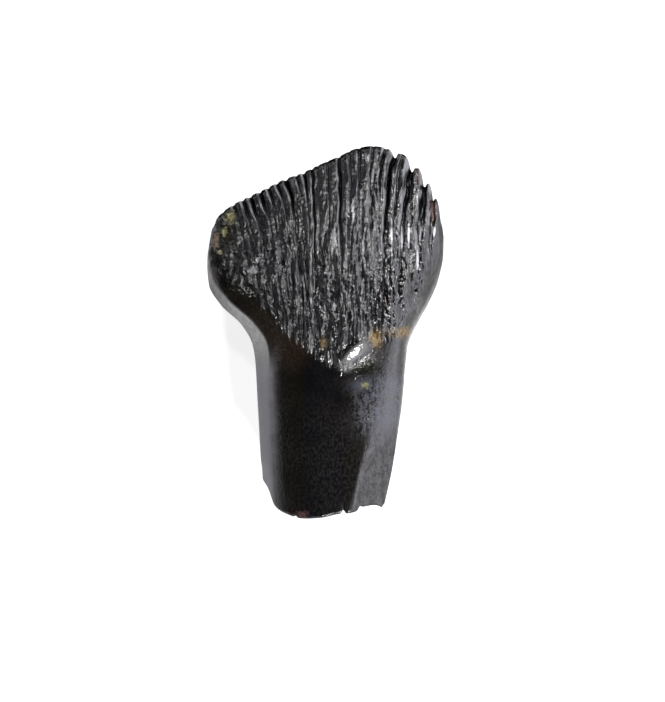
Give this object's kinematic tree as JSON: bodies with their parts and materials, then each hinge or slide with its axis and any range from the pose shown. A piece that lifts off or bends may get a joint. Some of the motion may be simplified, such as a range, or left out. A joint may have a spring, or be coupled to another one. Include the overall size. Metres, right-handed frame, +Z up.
{
  "type": "fossil thescelosaurus tooth",
  "caption": "Fan-shaped fossil tooth crown with upright ridges and a scalloped margin on a stout, broken-off root, lying on its lower face.",
  "frame": {"origin": "middle of the tooth's outline seen from above, on the plane that it rests on", "axes": "+Y from the broken root to the crown, +Z up through the ridged face that shows, -Z out of the flat spot that the tooth rests on"},
  "size_m": [0.0076, 0.012, 0.0042],
  "materials": {
    "enamel": "glossy brown-black mineralised enamel, duller and finely pitted on the crown"
  },
  "bodies": {
    "root": {"tooth": "enamel"}
  },
  "joints": []
}
